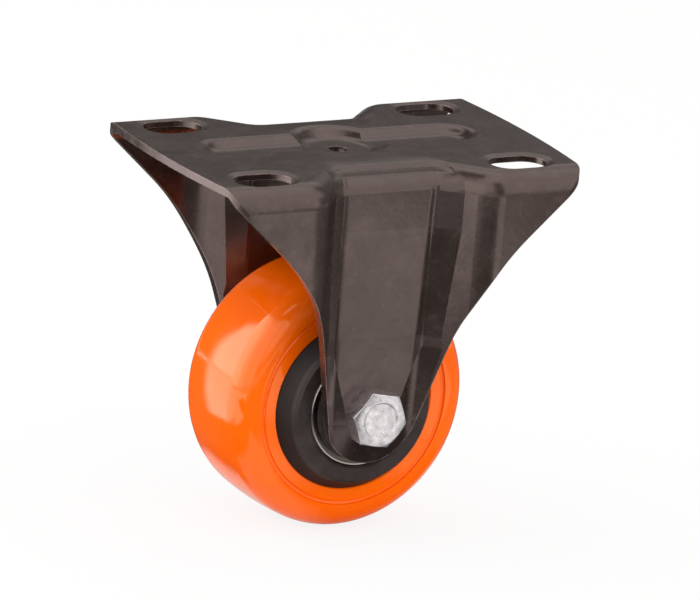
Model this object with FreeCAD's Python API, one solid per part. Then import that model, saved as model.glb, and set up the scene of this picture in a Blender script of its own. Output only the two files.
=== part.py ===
"""Light duty fixed caster: a pressed steel fork with a 50 mm wheel on two ball bearings.

Frame: millimetres, +Z up, +X the way the wheel rolls, +Y along the axle.
The origin is the centre of the mounting plate's top face.
The bolt's head is on the -Y side ("near") and its nut on the +Y side ("far").
"""
import FreeCAD
import Part
import math
import os
from FreeCAD import Vector

# Axle set: a 6 mm bolt with its nut, washer and sleeve
BOLT_DIAMETER = 6.0
BOLT_PROTRUSION = 1.2
BOLT_TIP_CHAMFER = 0.8
HEX_WALL = 2.0
HEX_FACE_SHARE = 0.96
HEX_CHAMFER_DEGREES = 30.0
HEAD_HEIGHT = 4.0
HEAD_TURN_DEGREES = -10.0
HEAD_DIMPLE_R = 3.5
HEAD_DIMPLE_DEPTH = 0.3
NUT_TURN_DEGREES = 12.0
NUT_HEX_HEIGHT = 4.6
NUT_COLLAR_HEIGHT = 1.6
NUT_COLLAR_WALL = 0.4
NUT_COLLAR_LIP = 0.35
INSERT_WALL = 0.9
THREAD_FIT = 0.02
WASHER_FIT = 0.2
WASHER_WALL = 2.8
WASHER_THICKNESS = 1.6
BOLT_HOLE_FIT = 0.3
SLEEVE_BORE_FIT = 0.15
SLEEVE_WALL = 0.84
SLEEVE_FIT = 0.01
SPACER_FIT = 0.05
SPACER_WALL = 1.45

# Ball bearings: the walls and clearances below come to the common 8 x 22 x 7 mm size
BALL_DIAMETER = 3.969
BALL_COUNT = 7
BALL_FIT = 0.02
RACE_CONFORMITY = 0.52
TRACK_WALL = 1.495
INNER_LAND_DROP = 1.45
OUTER_LAND_DROP = 1.4
RING_CHAMFER = 0.3
SEAL_SEAT_WALL = 1.4
SEAL_THICKNESS = 0.6
SEAL_INSET = 0.05
SEAL_GAP = 0.3
CAGE_HALF_WALL = 0.85
CAGE_OPEN_DEPTH = 0.9
CAGE_RIM = 0.45
CAGE_SEAL_GAP = 0.3
POCKET_FIT = 0.1

# Wheel
WHEEL_DIAMETER = 50.0
TREAD_WIDTH = 22.8
TREAD_CROWN = 0.25
SHOULDER_R = 5.0
SHOULDER_SHARE = 0.6
SIDE_GROOVE_INSET = 0.6
SIDE_GROOVE_R = 0.5
HUB_WIDTH = 30.4
HUB_FACE_WALL = 3.4
HUB_FLANK_RUN = 2.0
HUB_EDGE = 0.6
HUB_MOUTH_CHAMFER = 0.4
HUB_STOP_LIP = 1.4
BEARING_RECESS = 0.3
KEY_RIB_HEIGHT = 2.0
KEY_RIB_WIDTH = 7.0
SEAM_DROP = 0.2

# Mounting plate, seen from above
SHEET = 1.5
HOLE_SPACING_X = 54.0
HOLE_SPACING_Y = 35.6
HOLE_MARGIN_X = 11.5
HOLE_MARGIN_Y = 8.0
SLOT_LENGTH = 11.6
SLOT_WIDTH = 7.6
SLOT_DISH_WIDTH = 1.3
SLOT_DISH_DEPTH = 0.35
PLATE_END_BULGE = 1.6
PLATE_CORNER_R = 3.5
PLATE_BEND_R = 4.4
GROOVE_END_MARGIN = 9.0
GROOVE_WIDTH = 12.0
GROOVE_DEPTH = 1.5
DISC_DIAMETER = 20.0
DISC_DEPTH = 1.9
PRESS_R = 3.2
PRESS_OFFSET_Y = 2.5
PRESS_RIM_LIFT = 0.03
CENTRE_HOLE = 3.6

# Legs
AXLE_DROP = 47.6
HUB_CLEARANCE = 1.3
PANEL_WIDTH_TOP = 19.4
PANEL_TAPER_DEGREES = 1.9
FLANK_RUN = 7.9
CREASE_IN_R = 2.2
CREASE_OUT_R = 7.1
WING_HEM = 2.6
WING_CORNER_R = 3.0
LEG_UPPER_DEGREES = 47.0
LEG_LOWER_DEGREES = 14.5
LEG_THROAT_R = 45.0
FOOT_WALL = 6.1

# Sizes that follow: the axle set from the bolt outwards
BOLT_R = BOLT_DIAMETER / 2
HEX_FLATS = BOLT_DIAMETER + 2 * HEX_WALL
INSERT_R = BOLT_R + INSERT_WALL
NUT_COLLAR_R = INSERT_R + NUT_COLLAR_WALL
BOLT_HOLE_R = BOLT_R + BOLT_HOLE_FIT
SLEEVE_BORE_R = BOLT_R + SLEEVE_BORE_FIT
SLEEVE_R = SLEEVE_BORE_R + SLEEVE_WALL

# The bearing from its bore outwards, and along the axle from its middle
BEARING_BORE_R = SLEEVE_R + SLEEVE_FIT
BALL_R = BALL_DIAMETER / 2
RACE_R = RACE_CONFORMITY * BALL_DIAMETER
PITCH_R = BEARING_BORE_R + TRACK_WALL + BALL_FIT + BALL_R
BEARING_R = PITCH_R + BALL_R + BALL_FIT + TRACK_WALL
INNER_LAND_R = PITCH_R - INNER_LAND_DROP
OUTER_LAND_R = PITCH_R + OUTER_LAND_DROP
SEAL_SEAT_R = BEARING_R - SEAL_SEAT_WALL
POCKET_R = BALL_R + POCKET_FIT
CAGE_RIM_Y = POCKET_R + CAGE_RIM
SEAL_IN_Y = CAGE_RIM_Y + CAGE_SEAL_GAP
SEAL_OUT_Y = SEAL_IN_Y + SEAL_THICKNESS
BEARING_HALF = SEAL_OUT_Y + SEAL_INSET
BEARING_FACE_Y = HUB_WIDTH / 2 - BEARING_RECESS
BEARING_MID_Y = BEARING_FACE_Y - BEARING_HALF

# The wheel
WHEEL_R = WHEEL_DIAMETER / 2
HUB_FACE_R = BEARING_R + HUB_FACE_WALL
TREAD_SEAM_R = HUB_FACE_R + HUB_FLANK_RUN
TREAD_SEAM_Y = TREAD_WIDTH / 2 - SEAM_DROP
KEY_RIB_R = TREAD_SEAM_R + KEY_RIB_HEIGHT
CROWN_EDGE_R = WHEEL_R - TREAD_CROWN
SHOULDER_REAL_R = min(SHOULDER_R, (CROWN_EDGE_R - TREAD_SEAM_R) * SHOULDER_SHARE)
SIDE_WALL_R = CROWN_EDGE_R - SHOULDER_REAL_R
SIDE_GROOVE_CIRCLE_R = SIDE_WALL_R - SIDE_GROOVE_INSET

# The fork
LEG_INNER_Y = HUB_WIDTH / 2 + HUB_CLEARANCE
PANEL_FACE_Y = LEG_INNER_Y + SHEET
PLATE_END_X = HOLE_SPACING_X / 2 + HOLE_MARGIN_X
PLATE_CORNER_X = PLATE_END_X - PLATE_END_BULGE
WING_FACE_Y = HOLE_SPACING_Y / 2 + HOLE_MARGIN_Y
GROOVE_LENGTH = 2 * (PLATE_END_X - GROOVE_END_MARGIN)
FOOT_R = BOLT_HOLE_R + FOOT_WALL
AXIS_Z = -AXLE_DROP
NUT_SEAT_Y = PANEL_FACE_Y + WASHER_THICKNESS
NUT_COLLAR_Y = NUT_SEAT_Y + NUT_HEX_HEIGHT
BOLT_LENGTH = PANEL_FACE_Y + NUT_COLLAR_Y + NUT_COLLAR_HEIGHT + BOLT_PROTRUSION

# Room that cutting shapes and blanks have past the sheet
CUT_MARGIN = 2.0
BLANK_X = PLATE_END_X + 5 * CUT_MARGIN
BLANK_DEPTH = AXLE_DROP + FOOT_R + CUT_MARGIN
FLAT = 0.01
AXLE_WAY = Vector(0, 1, 0)
ORIGIN = Vector(0, 0, 0)


def unit(vector):
    """The vector scaled to length one."""
    return vector * (1.0 / vector.Length)


def left_of(start, end):
    """Unit vector in the XY plane, to the left of the way from start to end."""
    along = unit(end - start)
    return Vector(-along.y, along.x, 0)


def offset_points(points, distance):
    """An open polyline in the XY plane, moved to its left by distance, corners mitred."""
    sides = [left_of(a, b) for a, b in zip(points, points[1:])]
    moved = [points[0] + sides[0] * distance]
    for corner, before, after in zip(points[1:-1], sides, sides[1:]):
        mitre = (before + after) * (1.0 / (1.0 + before.dot(after)))
        moved.append(corner + mitre * distance)
    moved.append(points[-1] + sides[-1] * distance)
    return moved


def rounded_edges(points, radii, distance=0.0):
    """Edges of an open polyline with tangent arcs at its corners, moved left by distance.

    A corner's arc stays concentric with the unmoved one, as in a sheet of even thickness.
    """
    moved = offset_points(points, distance)
    edges = []
    last = moved[0]
    for before, corner, after, radius in zip(moved, moved[1:], moved[2:], radii):
        into = unit(corner - before)
        out = unit(after - corner)
        turn = into.x * out.y - into.y * out.x
        own_radius = radius - math.copysign(distance, turn)
        reach = own_radius * math.tan(into.getAngle(out) / 2)
        start = corner - into * reach
        end = corner + out * reach
        to_corner = unit(out - into)
        middle = corner + to_corner * (math.hypot(own_radius, reach) - own_radius)
        edges.append(Part.makeLine(last, start))
        edges.append(Part.Arc(start, middle, end).toShape())
        last = end
    edges.append(Part.makeLine(last, moved[-1]))
    return edges


def turned(outline):
    """Solid of revolution about the Y axis from (radius, y) points."""
    points = [Vector(radius, y, 0) for radius, y in outline]
    face = Part.Face(Part.makePolygon(points + points[:1]))
    return face.revolve(ORIGIN, AXLE_WAY, 360)


def on_axle(shape):
    """A shape modelled about the line x = z = 0, moved down to the axle."""
    moved = shape.copy()
    moved.translate(Vector(0, 0, AXIS_Z))
    return moved


def panel_half(depth):
    """Half width of the leg's flat panel at a depth below the plate's top."""
    return PANEL_WIDTH_TOP / 2 - depth * math.tan(math.radians(PANEL_TAPER_DEGREES))


def side_edges(depth, inward):
    """The +Y side of the fork seen from above, as edges at a depth, moved inward."""
    panel_x = panel_half(depth)
    wing_x = PANEL_WIDTH_TOP / 2 + FLANK_RUN
    points = [
        Vector(-BLANK_X, WING_FACE_Y, -depth),
        Vector(-wing_x, WING_FACE_Y, -depth),
        Vector(-panel_x, PANEL_FACE_Y, -depth),
        Vector(panel_x, PANEL_FACE_Y, -depth),
        Vector(wing_x, WING_FACE_Y, -depth),
        Vector(BLANK_X, WING_FACE_Y, -depth),
    ]
    radii = [CREASE_OUT_R, CREASE_IN_R, CREASE_IN_R, CREASE_OUT_R]
    return rounded_edges(points, radii, -inward)


def plan_wire(depth, inward):
    """Closed outline of the fork seen from above, at a depth and moved inward."""
    far = side_edges(depth, inward)
    near = [edge.mirror(ORIGIN, AXLE_WAY) for edge in far]
    far_ends = [far[0].Vertexes[0].Point, far[-1].Vertexes[-1].Point]
    near_ends = [Vector(p.x, -p.y, p.z) for p in far_ends]
    closing = [Part.makeLine(a, b) for a, b in zip(far_ends, near_ends)]
    return Part.Wire(Part.__sortEdges__(far + closing + near))


def bent_block(top_depth, bottom_depth, inward, bend_r):
    """Block under the plan outline with its two long top edges rounded."""
    wires = [plan_wire(top_depth, inward), plan_wire(bottom_depth, inward)]
    block = Part.makeLoft(wires, True, True)
    top_edges = []
    for edge in block.Edges:
        box = edge.BoundBox
        is_top = box.ZMin > -top_depth - FLAT
        is_end = box.XLength < FLAT
        if is_top and not is_end:
            top_edges.append(edge)
    return block.makeFillet(bend_r, top_edges)


def end_trim():
    """Prism of the plate's outline seen from above, with bulged ends and round corners."""
    corner = Vector(PLATE_CORNER_X, WING_FACE_Y, CUT_MARGIN)
    right_low = Vector(corner.x, -corner.y, corner.z)
    right = Part.Arc(right_low, Vector(PLATE_END_X, 0, corner.z), corner).toShape()
    left = right.mirror(ORIGIN, Vector(1, 0, 0))
    top = Part.makeLine(corner, Vector(-corner.x, corner.y, corner.z))
    bottom = Part.makeLine(right_low, Vector(-corner.x, -corner.y, corner.z))
    face = Part.Face(Part.Wire(Part.__sortEdges__([right, top, left, bottom])))
    prism = face.extrude(Vector(0, 0, -BLANK_DEPTH - CUT_MARGIN))
    uprights = [edge for edge in prism.Edges if edge.BoundBox.ZLength > BLANK_DEPTH]
    return prism.makeFillet(PLATE_CORNER_R, uprights)


def leg_outline_half():
    """Points and radii of the +X half of the leg seen along the axle, from the top down.

    A straight upper edge and a straight lower edge meet in one long arc, and the lower
    edge runs tangent into the round foot about the axle. The points are (x, z).
    """
    upper_slope = math.tan(math.radians(LEG_UPPER_DEGREES))
    lower = math.radians(LEG_LOWER_DEGREES)
    lower_slope = math.tan(lower)
    hem = Vector(PLATE_CORNER_X, -WING_HEM, 0)
    tangent = Vector(FOOT_R * math.cos(lower), AXIS_Z - FOOT_R * math.sin(lower), 0)
    # Each straight edge is x = start + slope * z, and they cross at the throat.
    upper_start = hem.x - upper_slope * hem.y
    lower_start = tangent.x - lower_slope * tangent.y
    throat_z = (lower_start - upper_start) / (upper_slope - lower_slope)
    throat = Vector(upper_start + upper_slope * throat_z, throat_z, 0)
    turn = math.radians(LEG_UPPER_DEGREES - LEG_LOWER_DEGREES)
    run = min((throat - hem).Length - WING_CORNER_R, (tangent - throat).Length - FLAT)
    throat_r = min(LEG_THROAT_R, run / math.tan(turn / 2))
    top = Vector(hem.x, CUT_MARGIN, 0)
    return [top, hem, throat, tangent], [WING_CORNER_R, throat_r]


def side_trim():
    """Prism of the fork's outline seen along the axle: the plate above and the legs below."""
    points, radii = leg_outline_half()
    right = rounded_edges(points, radii)
    left = [edge.mirror(ORIGIN, Vector(1, 0, 0)) for edge in right]
    top, tangent = points[0], points[-1]
    foot = Part.Arc(tangent, Vector(0, AXIS_Z - FOOT_R, 0),
                    Vector(-tangent.x, tangent.y, 0)).toShape()
    lid = Part.makeLine(Vector(-top.x, top.y, 0), top)
    legs = Part.Face(Part.Wire(Part.__sortEdges__(right + [foot] + left + [lid])))
    legs.rotate(ORIGIN, Vector(1, 0, 0), 90)
    reach = WING_FACE_Y + CUT_MARGIN
    legs.translate(Vector(0, reach, 0))
    legs = legs.extrude(Vector(0, -2 * reach, 0))
    plate = Part.makeBox(2 * BLANK_X, 2 * reach, SHEET + CUT_MARGIN,
                         Vector(-BLANK_X, -reach, -SHEET))
    return legs.fuse(plate)


def stadium_prism(length, width, top_z, height, grow=0.0, shrink=0.0):
    """Upright prism over a stadium along X, wider by grow and tapering by shrink below."""
    wires = []
    for depth, extra in ((0.0, grow), (height, grow - shrink)):
        half = (length - width) / 2
        radius = width / 2 + extra
        z = top_z - depth
        edges = [
            Part.makeLine(Vector(-half, -radius, z), Vector(half, -radius, z)),
            Part.Arc(Vector(half, -radius, z), Vector(half + radius, 0, z),
                     Vector(half, radius, z)).toShape(),
            Part.makeLine(Vector(half, radius, z), Vector(-half, radius, z)),
            Part.Arc(Vector(-half, radius, z), Vector(-half - radius, 0, z),
                     Vector(-half, -radius, z)).toShape(),
        ]
        wires.append(Part.Wire(edges))
    return Part.makeLoft(wires, True, True)


def press_profile(half_width, depth):
    """Face of half a pressed recess in the XZ plane: two equal arcs down to a flat floor.

    The upper arc's crest lies just above the plate, so the rim shows as a soft edge.
    """
    drop = depth + PRESS_RIM_LIFT
    turn = math.acos(1.0 - drop / (2 * PRESS_R))
    crest = Vector(half_width, 0, PRESS_RIM_LIFT)
    crest_centre = Vector(half_width, 0, PRESS_RIM_LIFT - PRESS_R)
    foot = Vector(half_width - 2 * PRESS_R * math.sin(turn), 0, -depth)
    foot_centre = foot + Vector(0, 0, PRESS_R)
    join = (crest + foot) * 0.5
    upper_mid = crest_centre + Vector(-math.sin(turn / 2), 0, math.cos(turn / 2)) * PRESS_R
    lower_mid = foot_centre + Vector(math.sin(turn / 2), 0, -math.cos(turn / 2)) * PRESS_R
    edges = [
        Part.Arc(crest, upper_mid, join).toShape(),
        Part.Arc(join, lower_mid, foot).toShape(),
        Part.makeLine(foot, Vector(0, 0, -depth)),
        Part.makeLine(Vector(0, 0, -depth), Vector(0, 0, PRESS_RIM_LIFT)),
        Part.makeLine(Vector(0, 0, PRESS_RIM_LIFT), crest),
    ]
    return Part.Face(Part.Wire(edges))


def press_recess():
    """The space of the long groove and its round middle, pressed down into the plate."""
    upright = Vector(0, 0, 1)
    half = (GROOVE_LENGTH - GROOVE_WIDTH) / 2
    section = press_profile(GROOVE_WIDTH / 2, GROOVE_DEPTH)
    side = section.copy()
    side.rotate(ORIGIN, upright, 90)
    side.translate(Vector(-half, 0, 0))
    bar = side.extrude(Vector(2 * half, 0, 0))
    recess = press_profile(DISC_DIAMETER / 2, DISC_DEPTH).revolve(ORIGIN, upright, 360)
    recess = recess.fuse([bar, bar.mirror(ORIGIN, AXLE_WAY)])
    for x in (-half, half):
        round_end = section.revolve(ORIGIN, upright, 360)
        round_end.translate(Vector(x, 0, 0))
        recess = recess.fuse(round_end)
    recess = recess.removeSplitter()
    recess.translate(AXLE_WAY * PRESS_OFFSET_Y)
    return recess


def press_bulge():
    """The same groove and disc where they stand out under the plate."""
    grow = SHEET / 3
    top = -SHEET + grow
    bar = stadium_prism(GROOVE_LENGTH, GROOVE_WIDTH, top, GROOVE_DEPTH + grow, grow, PRESS_R)
    disc_r = DISC_DIAMETER / 2 + grow
    height = DISC_DEPTH + grow
    disc = Part.makeCone(disc_r - PRESS_R, disc_r, height, Vector(0, 0, top - height))
    bulge = bar.fuse(disc)
    bulge.translate(AXLE_WAY * PRESS_OFFSET_Y)
    return bulge


def slot_places():
    """Centres of the four mounting slots."""
    x = HOLE_SPACING_X / 2
    y = HOLE_SPACING_Y / 2
    return [Vector(sx * x, sy * y, 0) for sx in (-1, 1) for sy in (-1, 1)]


def slot_cutter():
    """One mounting slot with the shallow dish that the punch leaves round it."""
    through = stadium_prism(SLOT_LENGTH, SLOT_WIDTH, CUT_MARGIN, PLATE_BEND_R + CUT_MARGIN)
    dish = stadium_prism(SLOT_LENGTH, SLOT_WIDTH, 0.0, SLOT_DISH_DEPTH,
                         SLOT_DISH_WIDTH, SLOT_DISH_WIDTH)
    return through.fuse(dish)


def make_fork():
    """The one pressed sheet: plate, pressed groove, slots, ribbed legs and flared wings."""
    outer = bent_block(0.0, BLANK_DEPTH, 0.0, PLATE_BEND_R)
    inner = bent_block(SHEET, BLANK_DEPTH + CUT_MARGIN, SHEET, PLATE_BEND_R - SHEET)
    sheet = outer.cut(inner)
    sheet = sheet.common(side_trim()).common(end_trim())
    sheet = sheet.fuse(press_bulge()).cut(press_recess())
    for place in slot_places():
        cutter = slot_cutter()
        cutter.translate(place)
        sheet = sheet.cut(cutter)
    drill = Part.makeCylinder(CENTRE_HOLE / 2, AXLE_DROP,
                              Vector(0, PRESS_OFFSET_Y, -AXLE_DROP / 2))
    axle_drill = Part.makeCylinder(BOLT_HOLE_R, 2 * BLANK_X, Vector(0, -BLANK_X, AXIS_Z), AXLE_WAY)
    return sheet.cut([drill, axle_drill]).removeSplitter()


def hexagon(height, turn_degrees, seat_y, outward):
    """Hexagonal prism about the axle with its outer face turned to a circle.

    It stands from seat_y along the Y sense outward, and a cone rounds its corners.
    """
    corner_r = HEX_FLATS / math.sqrt(3)
    corners = []
    for step in range(6):
        angle = math.radians(turn_degrees + 60 * step)
        corners.append(Vector(corner_r * math.cos(angle), seat_y, corner_r * math.sin(angle)))
    prism = Part.Face(Part.makePolygon(corners + corners[:1]))
    prism = prism.extrude(Vector(0, outward * height, 0))
    circle_r = HEX_FLATS / 2 * HEX_FACE_SHARE
    cone_r = corner_r + CUT_MARGIN
    rise = (cone_r - circle_r) * math.tan(math.radians(HEX_CHAMFER_DEGREES))
    cone = [(0, 0), (cone_r, 0), (cone_r, height - rise), (circle_r, height), (0, height)]
    return prism.common(turned([(radius, seat_y + outward * y) for radius, y in cone]))


def cylinder(radius, start_y, length):
    """Cylinder on the Y axis, from start_y along +Y."""
    return Part.makeCylinder(radius, length, Vector(0, start_y, 0), AXLE_WAY)


def ring(inner_r, outer_r, start_y, length):
    """Plain ring about the axle, from start_y along +Y."""
    end_y = start_y + length
    outline = [(inner_r, start_y), (outer_r, start_y), (outer_r, end_y), (inner_r, end_y)]
    return on_axle(turned(outline))


def make_axle_bolt():
    """Hexagon head bolt, its head seated on the near leg and its tip past the nut."""
    seat = -PANEL_FACE_Y
    face = seat - HEAD_HEIGHT
    plain = BOLT_LENGTH - BOLT_TIP_CHAMFER
    head = hexagon(HEAD_HEIGHT, HEAD_TURN_DEGREES, seat, -1)
    dimple = Part.makeCone(HEAD_DIMPLE_R, HEAD_DIMPLE_R - HEAD_DIMPLE_DEPTH, HEAD_DIMPLE_DEPTH,
                           Vector(0, face, 0), AXLE_WAY)
    tip = Part.makeCone(BOLT_R, BOLT_R - BOLT_TIP_CHAMFER, BOLT_TIP_CHAMFER,
                        Vector(0, seat + plain, 0), AXLE_WAY)
    bolt = head.cut(dimple).fuse([cylinder(BOLT_R, seat, plain), tip])
    return on_axle(bolt.removeSplitter())


def make_nut_washer():
    """Plain washer between the far leg and the nut."""
    hole_r = BOLT_R + WASHER_FIT
    return ring(hole_r, hole_r + WASHER_WALL, PANEL_FACE_Y, WASHER_THICKNESS)


def make_lock_nut():
    """Lock nut: a hexagon with a round collar that holds a nylon ring."""
    body = hexagon(NUT_HEX_HEIGHT, NUT_TURN_DEGREES, NUT_SEAT_Y, 1)
    collar = cylinder(NUT_COLLAR_R, NUT_COLLAR_Y, NUT_COLLAR_HEIGHT)
    rim = [edge for edge in collar.Edges
           if edge.BoundBox.YLength < FLAT and edge.BoundBox.YMin > NUT_COLLAR_Y + FLAT]
    collar = collar.makeFillet(NUT_COLLAR_LIP, rim)
    nest = cylinder(INSERT_R, NUT_COLLAR_Y, NUT_COLLAR_HEIGHT - NUT_COLLAR_LIP)
    mouth = cylinder(INSERT_R - NUT_COLLAR_LIP, NUT_COLLAR_Y, 2 * NUT_COLLAR_HEIGHT)
    drill = cylinder(BOLT_R + THREAD_FIT, 0, 2 * NUT_COLLAR_Y)
    return on_axle(body.fuse(collar).cut([nest, mouth, drill]).removeSplitter())


def make_nut_insert():
    """Nylon ring trapped in the nut's collar round the bolt."""
    return ring(BOLT_R + THREAD_FIT, INSERT_R, NUT_COLLAR_Y, NUT_COLLAR_HEIGHT - NUT_COLLAR_LIP)


def make_axle_sleeve():
    """Tube round the bolt, clamped between the legs, that carries both bearings."""
    return ring(SLEEVE_BORE_R, SLEEVE_R, -LEG_INNER_Y, 2 * LEG_INNER_Y)


def make_spacer(side):
    """Spacer on the sleeve between a leg and the bearing's inner ring."""
    start = BEARING_FACE_Y if side > 0 else -LEG_INNER_Y
    bore_r = SLEEVE_R + SPACER_FIT
    return ring(bore_r, bore_r + SPACER_WALL, start, LEG_INNER_Y - BEARING_FACE_Y)


def bearing_place(shape, side):
    """A bearing piece modelled about the origin, mirrored for its side and put in place."""
    placed = on_axle(shape if side > 0 else shape.mirror(ORIGIN, AXLE_WAY))
    placed.translate(Vector(0, side * BEARING_MID_Y, 0))
    return placed


def track_tool(bottom_r, outward):
    """Torus that cuts a ball track: its farthest circle lies on the track's bottom."""
    return Part.makeTorus(bottom_r - outward * RACE_R, RACE_R, ORIGIN, AXLE_WAY)


def make_outer_ring(side):
    """Outer ring with its ball track and the two seats for the seals."""
    half = [
        (OUTER_LAND_R, SEAL_IN_Y), (SEAL_SEAT_R, SEAL_IN_Y), (SEAL_SEAT_R, BEARING_HALF),
        (BEARING_R - RING_CHAMFER, BEARING_HALF), (BEARING_R, BEARING_HALF - RING_CHAMFER),
    ]
    other = [(radius, -y) for radius, y in reversed(half)]
    track = track_tool(PITCH_R + BALL_R + BALL_FIT, 1)
    return bearing_place(turned(half + other).cut(track), side)


def make_inner_ring(side):
    """Inner ring with its ball track, on the sleeve."""
    half = [
        (BEARING_BORE_R, BEARING_HALF - RING_CHAMFER),
        (BEARING_BORE_R + RING_CHAMFER, BEARING_HALF), (INNER_LAND_R, BEARING_HALF),
    ]
    other = [(radius, -y) for radius, y in reversed(half)]
    track = track_tool(PITCH_R - BALL_R - BALL_FIT, -1)
    return bearing_place(turned(half + other).cut(track), side)


def make_seal(side, face):
    """Rubber seal seated in the outer ring, on the bearing's outward or inward face."""
    inner_r = INNER_LAND_R + SEAL_GAP
    outline = [
        (inner_r, SEAL_IN_Y), (SEAL_SEAT_R, SEAL_IN_Y), (SEAL_SEAT_R, SEAL_OUT_Y),
        (inner_r + SEAL_THICKNESS, SEAL_OUT_Y), (inner_r, SEAL_OUT_Y - SEAL_THICKNESS / 2),
    ]
    return bearing_place(turned([(radius, face * y) for radius, y in outline]), side)


def spheres(radius):
    """One sphere at each of a bearing's ball centres, as a group.

    Each sphere's poles lie along the bearing's radius and its seam on the cage's open
    side, so that neither crosses a pocket's wall.
    """
    open_side = Vector(0, -1, 0)
    balls = []
    for step in range(BALL_COUNT):
        angle = 2 * math.pi * step / BALL_COUNT
        outward = Vector(math.cos(angle), 0, math.sin(angle))
        ball = Part.makeSphere(radius)
        turn = FreeCAD.Rotation(open_side, Vector(), outward, "ZXY")
        ball.Placement = FreeCAD.Placement(outward * PITCH_R, turn)
        balls.append(ball)
    return Part.makeCompound(balls)


def make_balls(side):
    """The balls of one bearing, as one group of solids."""
    return bearing_place(spheres(BALL_R), side)


def make_cage(side):
    """Snap-in cage: a ring with a rim on its outward side and a pocket for each ball."""
    inner_r = PITCH_R - CAGE_HALF_WALL
    outer_r = PITCH_R + CAGE_HALF_WALL
    outline = [(inner_r, -CAGE_OPEN_DEPTH), (outer_r, -CAGE_OPEN_DEPTH),
               (outer_r, CAGE_RIM_Y), (inner_r, CAGE_RIM_Y)]
    return bearing_place(turned(outline).cut(spheres(POCKET_R)), side)


def make_hub():
    """Moulded hub: two bearing pockets, a stop between them and a rib that keys the tread."""
    face_y = HUB_WIDTH / 2
    stop_y = BEARING_FACE_Y - 2 * BEARING_HALF
    rib_y = KEY_RIB_WIDTH / 2
    half = [
        (BEARING_R - HUB_STOP_LIP, stop_y), (BEARING_R, stop_y),
        (BEARING_R, face_y - HUB_MOUTH_CHAMFER), (BEARING_R + HUB_MOUTH_CHAMFER, face_y),
        (HUB_FACE_R - HUB_EDGE, face_y), (HUB_FACE_R, face_y - HUB_EDGE),
        (TREAD_SEAM_R, TREAD_SEAM_Y), (TREAD_SEAM_R, rib_y), (KEY_RIB_R, rib_y),
    ]
    other = [(radius, -y) for radius, y in reversed(half)]
    return on_axle(turned(half + other))


def tread_section():
    """Face of the tread's section, with its radius along X and its width along Y."""
    half = TREAD_WIDTH / 2
    rib_y = KEY_RIB_WIDTH / 2
    crown_y = half - SHOULDER_REAL_R
    diagonal = SHOULDER_REAL_R * math.sqrt(0.5)
    crown_end = Vector(CROWN_EDGE_R, crown_y, 0)
    shoulder_mid = Vector(SIDE_WALL_R + diagonal, crown_y + diagonal, 0)
    knots = [
        Vector(KEY_RIB_R, 0, 0), Vector(KEY_RIB_R, rib_y, 0), Vector(TREAD_SEAM_R, rib_y, 0),
        Vector(TREAD_SEAM_R, TREAD_SEAM_Y, 0), Vector(TREAD_SEAM_R + SEAM_DROP, half, 0),
        Vector(SIDE_WALL_R, half, 0),
    ]
    edges = [Part.makeLine(a, b) for a, b in zip(knots, knots[1:])]
    edges.append(Part.Arc(knots[-1], shoulder_mid, crown_end).toShape())
    edges += [edge.mirror(ORIGIN, AXLE_WAY) for edge in edges]
    edges.append(Part.Arc(Vector(CROWN_EDGE_R, -crown_y, 0), Vector(WHEEL_R, 0, 0),
                          crown_end).toShape())
    return Part.Face(Part.Wire(Part.__sortEdges__(edges)))


def make_tread():
    """Moulded tread: slightly crowned, with round shoulders and a fine groove on each side."""
    tyre = tread_section().revolve(ORIGIN, AXLE_WAY, 360)
    for sign in (1, -1):
        groove = Part.makeTorus(SIDE_GROOVE_CIRCLE_R, SIDE_GROOVE_R,
                                Vector(0, sign * TREAD_WIDTH / 2, 0), AXLE_WAY)
        tyre = tyre.cut(groove)
    return on_axle(tyre)


def all_pieces():
    """Every node's name with its solid."""
    pieces = {
        "fork": make_fork(),
        "axle_bolt": make_axle_bolt(),
        "lock_nut": make_lock_nut(),
        "nut_insert": make_nut_insert(),
        "nut_washer": make_nut_washer(),
        "axle_sleeve": make_axle_sleeve(),
        "hub": make_hub(),
        "tread": make_tread(),
    }
    for label, side in (("near", -1), ("far", 1)):
        pieces["spacer_" + label] = make_spacer(side)
        pieces["outer_ring_" + label] = make_outer_ring(side)
        pieces["inner_ring_" + label] = make_inner_ring(side)
        pieces["balls_" + label] = make_balls(side)
        pieces["cage_" + label] = make_cage(side)
        pieces["outer_seal_" + label] = make_seal(side, 1)
        pieces["inner_seal_" + label] = make_seal(side, -1)
    return pieces


def main():
    """Build every piece and write one STEP file for each."""
    os.makedirs("parts", exist_ok=True)
    for name, shape in all_pieces().items():
        shape.exportStep("parts/" + name + ".step")
        print(name, shape.isValid(), len(shape.Solids), round(shape.Volume, 2))


main()
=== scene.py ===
"""Looks for the light duty caster: finishes for its pressed fork, moulded wheel and bearings.

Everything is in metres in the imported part's own frame: +Z up, +X the way the wheel rolls,
+Y along the axle towards the nut, and the origin at the centre of the plate's top face.
"""
import logging
import math
from collections.abc import Callable
from dataclasses import dataclass
from enum import Enum

import bpy
from mathutils import Matrix, Vector


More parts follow.
